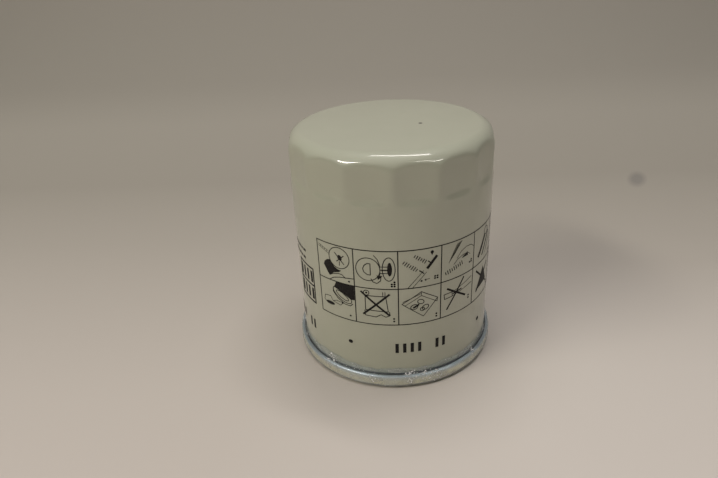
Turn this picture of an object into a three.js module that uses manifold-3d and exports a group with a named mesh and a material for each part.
// Spin-on oil filter, built from the pieces it would come apart into on a bench.
// Millimetres. Z is the filter's axis: z = 0 is the gasket's sealing face and the dome is on top,
// so the filter stands thread side down. A corner of the wrench flats points along -Y.

import * as THREE from 'three';
import { mergeVertices } from 'three/addons/utils/BufferGeometryUtils.js';
import Module from 'manifold-3d';

const wasm = await Module();
wasm.setup();

const TURN = 2 * Math.PI;
const GAP = 0.1; // left between pieces that touch

// Driving dimensions.
const CAN_RADIUS = 38.3;
const SHEET = 0.5; // steel of the can and of the seaming lid
const TOP = 92; // gasket face to the top of the dome
const DOME_CORNER_RADIUS = 6; // rounding between the dome and the can's wall
const DOME_FLAT_RADIUS = 10; // level disc in the middle of the crowned dome
const DOME_CROWN = 0.5; // how much the dome rises from its rounded edge to its middle
const FLAT_COUNT = 15; // wrench flats round the dome end
const FLATS_START = 72.6; // height at which a flat begins to leave the round wall
const FLATS_FULL = 75.4; // height at which the flats meet in sharp corners
const SEAM_RADIUS = 40;
const SEAM_BOTTOM = 1; // the gasket stands this far proud of the seam
const SEAM_TOP = 5.5;
const GASKET = { inner: 31, outer: 35.5, height: 6.3, chamfer: 0.4 };
const LID_FLOOR = 6.4; // underside of the gasket groove
const LID_INNER_EDGE = 23.4;
const RIDGE = { inner: 28.45, outer: 30.35, bottom: 2.45 }; // middle of the sheet in the lid's inner ridge

const PLATE = { radius: 36.8, bottom: 7, thickness: 3 };
const NECK = { outer: 11.8, top: 17.6, boreChamfer: 1.2, topChamfer: 0.4 };
const THREAD = { minor: 8.7, depth: 0.8, pitch: 25.4 / 16, halfWidth: 0.7, root: 0.35 }; // 3/4-16 UNF
const INLET = { count: 8, radius: 3.2, circle: 19 };

const CAP_SHEET = 0.6; // end caps and valve pressings
const ELEMENT_BOTTOM = 18.2; // underside of the lower end cap
const ELEMENT_TOP = 74.5; // upper side of the upper end cap's rim
const CAP_RADIUS = 33.6;
const CAP_RIM = 3.4; // how far an end cap's rim turns over the pleats
const POTTING_HEIGHT = 1.5;
const TUBE = { inner: 14.4, outer: 15 };
const TUBE_HOLES = { radius: 2.5, around: 8, rows: 4 };
const PAPER = { inner: 15.5, outer: 32.3, pleats: 42, thickness: 0.35, fold: 0.2 };
const CLIPPED_PLEAT_RADIUS = 30.3; // the pleat that holds the side seam stops short of the others
const CLIP = { inner: 24.5, halfWidth: 1.2, wall: 0.4, endClearance: 3 };
const BEAD = { radius: 0.5, turns: 2.5, inset: 8 };

const BOSS = { radius: 14.85, rise: 2, hole: 10.8 }; // raised middle of the upper end cap
const SEAT = { hole: 8, radius: 14.4, thickness: 0.7 };
const CAGE = { radius: 10.2, flange: 14.2, depth: 19.3, guideRadius: 2.3, windows: 4, windowWidth: 9 };
const POPPET = { radius: 9.4, thickness: 1.05, stemRadius: 2, hubRadius: 5.2, hubRise: 0.75 };
const SEAL_THICKNESS = 0.85;
const BYPASS_SPRING = { radius: 7.2, wire: 1.4, turns: 5.5 };
const SUPPORT_SPRING = { radius: 17.4, wire: 2.2, turns: 3.5 };

const FILM = { thickness: 0.15, stand: 0.25, top: 10.5, inner: 37.6 };

// Segments round the axis. The can and what is nested in its seam share one count, a multiple of FLAT_COUNT.
const CAN_SEGMENTS = 3 * FLAT_COUNT;
const PLATE_SEGMENTS = 32;
const INNER_SEGMENTS = 36;
const VALVE_SEGMENTS = 28;
const RUBBER_SEGMENTS = 48;

const COLOURS = {
  paint: [0xbcbfb1, 0.3, 0],
  zinc: [0xb4bcc4, 0.32, 1],
  steel: [0x8f9296, 0.42, 1],
  tinned: [0xc2c4c4, 0.35, 1],
  springSteel: [0x5e6266, 0.38, 1],
  rubber: [0x17181a, 0.62, 0],
  silicone: [0x8d3a26, 0.5, 0],
  paper: [0xd9b64a, 0.9, 0],
  plastisol: [0xb9622a, 0.6, 0],
  hotMelt: [0xe6dcb8, 0.45, 0],
  compound: [0x9aa6a0, 0.7, 0],
  film: [0xeef2f2, 0.12, 0],
};

/** Turns the faces outwards if the geometry was wound inside out. */
function facingOut(geometry) {
  const solid = mergeVertices(positionsOnly(geometry), 1e-5);
  const position = solid.attributes.position;
  const index = solid.index;
  const [a, b, c] = [new THREE.Vector3(), new THREE.Vector3(), new THREE.Vector3()];
  let volume = 0;
  for (let i = 0; i < index.count; i += 3) {
    a.fromBufferAttribute(position, index.getX(i));
    b.fromBufferAttribute(position, index.getX(i + 1));
    c.fromBufferAttribute(position, index.getX(i + 2));
    volume += a.dot(b.cross(c));
  }
  if (volume < 0) {
    for (let i = 0; i < index.count; i += 3) {
      const second = index.getX(i + 1);
      index.setX(i + 1, index.getX(i + 2));
      index.setX(i + 2, second);
    }
  }
  return solid;
}

function positionsOnly(geometry) {
  const bare = geometry.clone();
  bare.deleteAttribute('normal');
  bare.deleteAttribute('uv');
  return bare;
}

/** A solid of revolution about Z. An outline that starts off the axis is closed into a ring. */
function revolve(outline, segments) {
  const closed = outline[0][0] === 0 ? outline : [...outline, outline[0]];
  const points = closed.map(([radius, height]) => new THREE.Vector2(radius, height));
  const geometry = new THREE.LatheGeometry(points, segments);
  geometry.rotateX(Math.PI / 2);
  return facingOut(geometry);
}

/** Two sides of a sheet of even thickness whose middle follows the path of [radius, height] points. */
function sheetSides(path, thickness) {
  const corners = path.map(([radius, height]) => new THREE.Vector2(radius, height));
  const directions = corners.slice(1).map((corner, i) => corner.clone().sub(corners[i]).normalize());
  const sides = [[], []];
  corners.forEach((corner, i) => {
    const before = directions[Math.max(i - 1, 0)];
    const after = directions[Math.min(i, directions.length - 1)];
    const mitre = before.clone().add(after).normalize();
    const reach = thickness / 2 / mitre.dot(after);
    sides[0].push([corner.x - mitre.y * reach, corner.y + mitre.x * reach]);
    sides[1].push([corner.x + mitre.y * reach, corner.y - mitre.x * reach]);
  });
  return sides;
}

function sheetOutline(path, thickness) {
  const [one, other] = sheetSides(path, thickness);
  return [...one, ...other.reverse()];
}

/** A ring of rectangular section. */
function ring(inner, outer, bottom, top, segments) {
  return revolve([[inner, bottom], [outer, bottom], [outer, top], [inner, top]], segments);
}

function toSolid(geometry) {
  const merged = mergeVertices(positionsOnly(geometry), 1e-5);
  return new wasm.Manifold(new wasm.Mesh({
    numProp: 3,
    vertProperties: new Float32Array(merged.attributes.position.array),
    triVerts: new Uint32Array(merged.index.array),
  }));
}

function toGeometry(solid) {
  const mesh = solid.getMesh();
  const geometry = new THREE.BufferGeometry();
  geometry.setAttribute('position', new THREE.BufferAttribute(new Float32Array(mesh.vertProperties), 3));
  geometry.setIndex(new THREE.BufferAttribute(new Uint32Array(mesh.triVerts), 1));
  return geometry;
}

/** The body with each of the tools cut out of it. */
function cut(body, tools) {
  return toGeometry(tools.reduce((solid, tool) => solid.subtract(toSolid(tool)), toSolid(body)));
}

/** A bar with the given section, wound about Z. heightAt gives its height at each share of its length. */
function wind(section, radius, turns, stepsPerTurn, heightAt) {
  const steps = Math.round(turns * stepsPerTurn);
  const bar = new THREE.ExtrudeGeometry(section, { depth: 1, steps, bevelEnabled: false });
  const position = bar.attributes.position;
  for (let i = 0; i < position.count; i += 1) {
    const share = position.getZ(i);
    const reach = radius + position.getX(i);
    const angle = share * turns * TURN;
    const height = heightAt(share) + position.getY(i);
    position.setXYZ(i, reach * Math.cos(angle), reach * Math.sin(angle), height);
  }
  return facingOut(bar);
}

function roundSection(radius, sides) {
  const corners = Array.from({ length: sides }, (_, i) => {
    const angle = (i / sides) * TURN;
    return new THREE.Vector2(radius * Math.cos(angle), radius * Math.sin(angle));
  });
  return new THREE.Shape(corners);
}

/** A compression spring between two heights, its end coils closed. */
function coilSpring({ radius, wire, turns }, bottom, top) {
  const closedTurns = 0.75;
  const closedRise = closedTurns * wire * 1.06;
  const freeRise = top - bottom - wire - 2 * closedRise;
  const heightAt = (share) => {
    const done = share * turns;
    const left = turns - done;
    if (done < closedTurns) {
      return bottom + wire / 2 + (done / closedTurns) * closedRise;
    }
    if (left < closedTurns) {
      return top - wire / 2 - (left / closedTurns) * closedRise;
    }
    const free = (done - closedTurns) / (turns - 2 * closedTurns);
    return bottom + wire / 2 + closedRise + free * freeRise;
  };
  return wind(roundSection(wire / 2, 6), radius, turns, 16, heightAt);
}

/** Distance from the axis to the middle of a wrench flat at that height, for the can's outer surface. */
function flatDistance(height) {
  const full = CAN_RADIUS * Math.cos(Math.PI / FLAT_COUNT);
  const share = THREE.MathUtils.clamp((height - FLATS_START) / (FLATS_FULL - FLATS_START), 0, 1);
  return THREE.MathUtils.lerp(CAN_RADIUS / Math.cos(Math.PI / FLAT_COUNT), full, share);
}

/** The deep-drawn can: dome, rounded edge, wrench flats, straight wall and the hook of the double seam. */
function canGeometry() {
  const wall = CAN_RADIUS - SHEET / 2;
  const hook = CAN_RADIUS + 0.88;
  const hookBottom = SEAM_BOTTOM + 0.85;
  const cornerCentre = CAN_RADIUS - DOME_CORNER_RADIUS;
  const cornerHeight = TOP - DOME_CROWN - DOME_CORNER_RADIUS;
  const bend = DOME_CORNER_RADIUS - SHEET / 2;
  const bendSteps = 4;
  const path = [[0, TOP - SHEET / 2], [DOME_FLAT_RADIUS, TOP - SHEET / 2]];
  for (let step = bendSteps; step >= 0; step -= 1) {
    const angle = (step / bendSteps) * (Math.PI / 2);
    path.push([cornerCentre + bend * Math.cos(angle), cornerHeight + bend * Math.sin(angle)]);
  }
  path.push([wall, FLATS_FULL], [wall, (FLATS_START + FLATS_FULL) / 2], [wall, FLATS_START]);
  path.push([wall, hookBottom], [hook, hookBottom], [hook, SEAM_TOP - 1.1]);
  const [outside, inside] = sheetSides(path, SHEET);
  const outline = [...outside, ...inside.reverse()];
  const points = outline.map(([radius, height]) => new THREE.Vector2(radius, height));
  const can = new THREE.LatheGeometry(points, CAN_SEGMENTS);
  can.rotateX(Math.PI / 2);
  const position = can.attributes.position;
  const sector = TURN / FLAT_COUNT;
  for (let i = 0; i < position.count; i += 1) {
    const height = position.getZ(i);
    if (height <= FLATS_START) {
      continue;
    }
    const onInside = i % outline.length >= outside.length;
    const angle = Math.atan2(position.getX(i), -position.getY(i));
    const fromMiddle = THREE.MathUtils.euclideanModulo(angle, sector) - sector / 2;
    const limit = (flatDistance(height) - (onInside ? SHEET : 0)) / Math.cos(fromMiddle);
    const radius = Math.hypot(position.getX(i), position.getY(i));
    const scale = radius > limit ? limit / radius : 1;
    position.setXYZ(i, position.getX(i) * scale, position.getY(i) * scale, height);
  }
  return facingOut(can);
}

/** The seaming lid: hooked round the can's edge, up into the gasket groove, over a ridge and onto the plate. */
function lidGeometry() {
  const middle = LID_FLOOR + SHEET / 2;
  const hook = CAN_RADIUS + 0.32;
  const outer = SEAM_RADIUS - SHEET / 2;
  const chuck = CAN_RADIUS - 0.85;
  const groove = 36.3;
  return revolve(sheetOutline([
    [hook, SEAM_BOTTOM + 1.5],
    [hook, SEAM_TOP - SHEET / 2],
    [outer, SEAM_TOP - SHEET / 2],
    [outer, SEAM_BOTTOM + SHEET / 2],
    [chuck, SEAM_BOTTOM + SHEET / 2],
    [chuck, SEAM_BOTTOM + 1.6],
    [groove, SEAM_BOTTOM + 3.2],
    [groove, middle],
    [RIDGE.outer, middle],
    [RIDGE.outer, RIDGE.bottom],
    [RIDGE.inner, RIDGE.bottom],
    [RIDGE.inner, middle],
    [LID_INNER_EDGE, middle],
  ], SHEET), CAN_SEGMENTS);
}

/** Bead of sealing compound above the can's hook, inside the rolled seam. */
function compoundGeometry() {
  return ring(CAN_RADIUS + 0.66, CAN_RADIUS + 1.14, SEAM_TOP - 1.03, SEAM_TOP - SHEET - 0.07, CAN_SEGMENTS);
}

function gasketGeometry() {
  const { inner, outer, height, chamfer } = GASKET;
  return revolve([
    [inner + chamfer, 0],
    [outer - chamfer, 0],
    [outer, chamfer],
    [outer, height],
    [inner, height],
    [inner, chamfer],
  ], RUBBER_SEGMENTS);
}

/** The thick steel plate: inlet holes round a drawn neck that carries the female thread. */
function plateGeometry() {
  const plateTop = PLATE.bottom + PLATE.thickness;
  const body = revolve([
    [THREAD.minor + NECK.boreChamfer, PLATE.bottom],
    [PLATE.radius, PLATE.bottom],
    [PLATE.radius, plateTop],
    [NECK.outer + 0.7, plateTop],
    [NECK.outer, plateTop + 0.7],
    [NECK.outer, NECK.top - NECK.topChamfer],
    [NECK.outer - NECK.topChamfer, NECK.top],
    [THREAD.minor + NECK.topChamfer, NECK.top],
    [THREAD.minor, NECK.top - NECK.topChamfer],
    [THREAD.minor, PLATE.bottom + NECK.boreChamfer],
  ], PLATE_SEGMENTS);
  const groove = new THREE.Shape([
    new THREE.Vector2(-THREAD.root, -THREAD.halfWidth),
    new THREE.Vector2(THREAD.depth, 0),
    new THREE.Vector2(-THREAD.root, THREAD.halfWidth),
  ]);
  const start = PLATE.bottom - 0.8;
  const rise = NECK.top + 0.8 - start;
  const turns = rise / THREAD.pitch;
  const tools = [wind(groove, THREAD.minor, turns, PLATE_SEGMENTS / 2, (share) => start + share * rise)];
  for (let i = 0; i < INLET.count; i += 1) {
    const angle = ((i + 0.5) / INLET.count) * TURN;
    const hole = new THREE.CylinderGeometry(INLET.radius, INLET.radius, 2 * PLATE.thickness, 12);
    hole.rotateX(Math.PI / 2);
    hole.translate(INLET.circle * Math.cos(angle), INLET.circle * Math.sin(angle), plateTop);
    hole.translate(0, 0, -PLATE.thickness / 2);
    tools.push(hole);
  }
  return cut(body, tools);
}

/** The anti-drain-back membrane: a collar round the neck and a thin skirt that covers the inlet holes. */
function membraneGeometry() {
  const seat = PLATE.bottom + PLATE.thickness + 0.2;
  const collarTop = ELEMENT_BOTTOM - 0.2;
  return revolve([
    [NECK.outer + 0.2, seat + 0.9],
    [NECK.outer + 1.1, seat],
    [14.4, seat],
    [15.2, seat + 2.4],
    [23.8, seat + 0.7],
    [24.6, seat],
    [26, seat],
    [26.2, seat + 1.2],
    [24, seat + 1.9],
    [15.6, seat + 4],
    [15, seat + 4.8],
    [15, collarTop],
    [NECK.outer + 0.2, collarTop],
  ], INNER_SEGMENTS);
}

function lowerCapGeometry() {
  const middle = ELEMENT_BOTTOM + CAP_SHEET / 2;
  const rim = CAP_RADIUS - CAP_SHEET / 2;
  return revolve(sheetOutline([[11.2, middle], [rim, middle], [rim, middle + CAP_RIM]], CAP_SHEET), INNER_SEGMENTS);
}

/** The upper end cap, with a raised boss that centres the support spring and houses the bypass valve. */
function upperCapGeometry() {
  const middle = ELEMENT_TOP - CAP_SHEET / 2;
  const rim = CAP_RADIUS - CAP_SHEET / 2;
  return revolve(sheetOutline([
    [BOSS.hole, middle + BOSS.rise],
    [BOSS.radius, middle + BOSS.rise],
    [BOSS.radius, middle],
    [rim, middle],
    [rim, middle - CAP_RIM],
  ], CAP_SHEET), INNER_SEGMENTS);
}

function pottingGeometry(bottom) {
  return ring(TUBE.outer + 0.3, CAP_RADIUS - CAP_SHEET - 0.2, bottom, bottom + POTTING_HEIGHT, INNER_SEGMENTS);
}

/** The perforated centre tube. Each drill goes right through, so it makes the holes on both sides. */
function tubeGeometry() {
  const bottom = ELEMENT_BOTTOM + CAP_SHEET + GAP;
  const top = ELEMENT_TOP - CAP_SHEET - GAP;
  const drills = [];
  const pitch = (top - bottom) / (TUBE_HOLES.rows + 0.5);
  for (let row = 0; row < TUBE_HOLES.rows; row += 1) {
    for (let i = 0; i < TUBE_HOLES.around / 2; i += 1) {
      const angle = ((i + (row % 2) / 2) / TUBE_HOLES.around) * TURN;
      const drill = new THREE.CylinderGeometry(TUBE_HOLES.radius, TUBE_HOLES.radius, 4 * TUBE.outer, 8);
      drill.rotateZ(angle);
      drill.translate(0, 0, bottom + (row + 0.75) * pitch);
      drills.push(drill);
    }
  }
  return cut(ring(TUBE.inner, TUBE.outer, bottom, top, 32), drills);
}

/** One side of the folded paper: a zigzag with a short level stretch at each fold. */
function pleatContour(tipRadius, tipHalf, valleyRadius, valleyHalf, firstTipRadius) {
  const corners = [];
  for (let i = 0; i < PAPER.pleats; i += 1) {
    const tip = (i / PAPER.pleats) * TURN;
    const valley = tip + TURN / 2 / PAPER.pleats;
    const reach = i === 0 ? firstTipRadius : tipRadius;
    for (const [radius, angle, half] of [[reach, tip, tipHalf], [valleyRadius, valley, valleyHalf]]) {
      for (const side of [-1, 1]) {
        const turned = angle + (side * half) / radius;
        corners.push(new THREE.Vector2(radius * Math.cos(turned), radius * Math.sin(turned)));
      }
    }
  }
  return corners;
}

function paperGeometry() {
  const { inner, outer, thickness, fold } = PAPER;
  const outside = pleatContour(outer, fold + thickness, inner + thickness, fold, CLIPPED_PLEAT_RADIUS);
  const inside = pleatContour(outer - thickness, fold, inner, fold + thickness, CLIPPED_PLEAT_RADIUS - thickness);
  const section = new THREE.Shape(outside);
  section.holes.push(new THREE.Path(inside));
  const [bottom, top] = paperHeights();
  const paper = new THREE.ExtrudeGeometry(section, { depth: top - bottom, steps: 1, bevelEnabled: false });
  paper.translate(0, 0, bottom);
  return facingOut(paper);
}

function paperHeights() {
  const cover = CAP_SHEET + POTTING_HEIGHT + 2 * GAP;
  return [ELEMENT_BOTTOM + cover, ELEMENT_TOP - cover];
}

/** The folded steel strip that grips the paper's side seam. */
function clipGeometry() {
  const { inner, halfWidth, wall, endClearance } = CLIP;
  const back = CLIPPED_PLEAT_RADIUS + GAP;
  const outline = [
    [inner, -halfWidth],
    [back + wall, -halfWidth],
    [back + wall, halfWidth],
    [inner, halfWidth],
    [inner, halfWidth - wall],
    [back, halfWidth - wall],
    [back, wall - halfWidth],
    [inner, wall - halfWidth],
  ];
  const [paperBottom, paperTop] = paperHeights();
  const bottom = paperBottom + endClearance;
  const section = new THREE.Shape(outline.map(([x, y]) => new THREE.Vector2(x, y)));
  const depth = paperTop - endClearance - bottom;
  const clip = new THREE.ExtrudeGeometry(section, { depth, steps: 1, bevelEnabled: false });
  clip.translate(0, 0, bottom);
  return facingOut(clip);
}

/** A thread of hot-melt adhesive wound round the pleat tips, which keeps them evenly spaced. */
function beadGeometry() {
  const [bottom, top] = paperHeights();
  const rise = top - bottom - 2 * BEAD.inset;
  const radius = PAPER.outer + BEAD.radius + GAP;
  const heightAt = (share) => bottom + BEAD.inset + share * rise;
  return wind(roundSection(BEAD.radius, 5), radius, BEAD.turns, 42, heightAt);
}

const seatUnderside = ELEMENT_TOP - CAP_SHEET + BOSS.rise - GAP - SEAT.thickness;
const poppetTop = seatUnderside - GAP - SEAL_THICKNESS - GAP;
const cageFloor = seatUnderside - GAP - CAGE.depth;

function seatGeometry() {
  return ring(SEAT.hole, SEAT.radius, seatUnderside, seatUnderside + SEAT.thickness, VALVE_SEGMENTS);
}

/** The pressed cage that holds the bypass spring, with windows that let the oil out. */
function cageGeometry() {
  const flangeMiddle = seatUnderside - GAP - CAP_SHEET / 2;
  const floorMiddle = cageFloor - CAP_SHEET / 2;
  const cage = revolve(sheetOutline([
    [CAGE.flange, flangeMiddle],
    [CAGE.radius, flangeMiddle],
    [CAGE.radius, floorMiddle],
    [CAGE.guideRadius, floorMiddle],
  ], CAP_SHEET), VALVE_SEGMENTS);
  const windows = [];
  const height = CAGE.depth - 8;
  for (let i = 0; i < CAGE.windows; i += 1) {
    const window = new THREE.BoxGeometry(8, CAGE.windowWidth, height);
    window.translate(CAGE.radius, 0, cageFloor + 3 + height / 2);
    window.rotateZ((i / CAGE.windows) * TURN + 0.1);
    windows.push(window);
  }
  return cut(cage, windows);
}

function poppetGeometry() {
  const stemEnd = cageFloor - CAP_SHEET - 2;
  const { radius, thickness, stemRadius, hubRadius, hubRise } = POPPET;
  return revolve([
    [0, poppetTop + hubRise],
    [hubRadius, poppetTop + hubRise],
    [hubRadius, poppetTop],
    [radius, poppetTop],
    [radius, poppetTop - thickness],
    [stemRadius, poppetTop - thickness],
    [stemRadius, stemEnd + 0.5],
    [stemRadius - 0.5, stemEnd],
    [0, stemEnd],
  ], 24);
}

function sealGeometry() {
  const bottom = poppetTop + GAP;
  return ring(POPPET.hubRadius + 0.2, POPPET.radius, bottom, bottom + SEAL_THICKNESS, VALVE_SEGMENTS);
}

/** Height of the dome's underside at a radius on its sloping part. */
function domeUnderside(radius) {
  const slopeEnd = CAN_RADIUS - DOME_CORNER_RADIUS;
  const share = (radius - DOME_FLAT_RADIUS) / (slopeEnd - DOME_FLAT_RADIUS);
  return TOP - SHEET - share * DOME_CROWN;
}

/** Clear shrink film: tucked under the seam, up its side and a little way up the can. */
function filmGeometry() {
  const { thickness, stand, top, inner } = FILM;
  const side = SEAM_RADIUS + stand;
  const wall = CAN_RADIUS + stand;
  const under = SEAM_BOTTOM - stand;
  return revolve(sheetOutline([
    [inner, under],
    [side, under],
    [side, SEAM_TOP + stand],
    [wall, SEAM_TOP + stand + 0.9],
    [wall, top],
  ], thickness), CAN_SEGMENTS);
}

const model = new THREE.Group();

function add(name, colour, geometry) {
  const [color, roughness, metalness] = COLOURS[colour];
  geometry.computeVertexNormals();
  const mesh = new THREE.Mesh(geometry, new THREE.MeshStandardMaterial({ color, roughness, metalness }));
  mesh.name = name;
  model.add(mesh);
}

const supportTop = domeUnderside(SUPPORT_SPRING.radius + SUPPORT_SPRING.wire) - GAP;

add('can', 'paint', canGeometry());
add('seaming_lid', 'zinc', lidGeometry());
add('seam_compound', 'compound', compoundGeometry());
add('sealing_gasket', 'rubber', gasketGeometry());
add('base_plate', 'steel', plateGeometry());
add('shrink_film', 'film', filmGeometry());
add('check_membrane', 'silicone', membraneGeometry());
add('lower_end_cap', 'tinned', lowerCapGeometry());
add('lower_potting', 'plastisol', pottingGeometry(ELEMENT_BOTTOM + CAP_SHEET + GAP));
add('pleated_paper', 'paper', paperGeometry());
add('pleat_clip', 'tinned', clipGeometry());
add('spacer_bead', 'hotMelt', beadGeometry());
add('centre_tube', 'tinned', tubeGeometry());
add('upper_potting', 'plastisol', pottingGeometry(ELEMENT_TOP - CAP_SHEET - GAP - POTTING_HEIGHT));
add('upper_end_cap', 'tinned', upperCapGeometry());
add('bypass_seat', 'tinned', seatGeometry());
add('bypass_cage', 'tinned', cageGeometry());
add('bypass_poppet', 'steel', poppetGeometry());
add('bypass_seal', 'rubber', sealGeometry());
add('bypass_spring', 'springSteel',
  coilSpring(BYPASS_SPRING, cageFloor + GAP, poppetTop - POPPET.thickness - GAP));
add('support_spring', 'springSteel', coilSpring(SUPPORT_SPRING, ELEMENT_TOP + GAP, supportTop));

export default model;
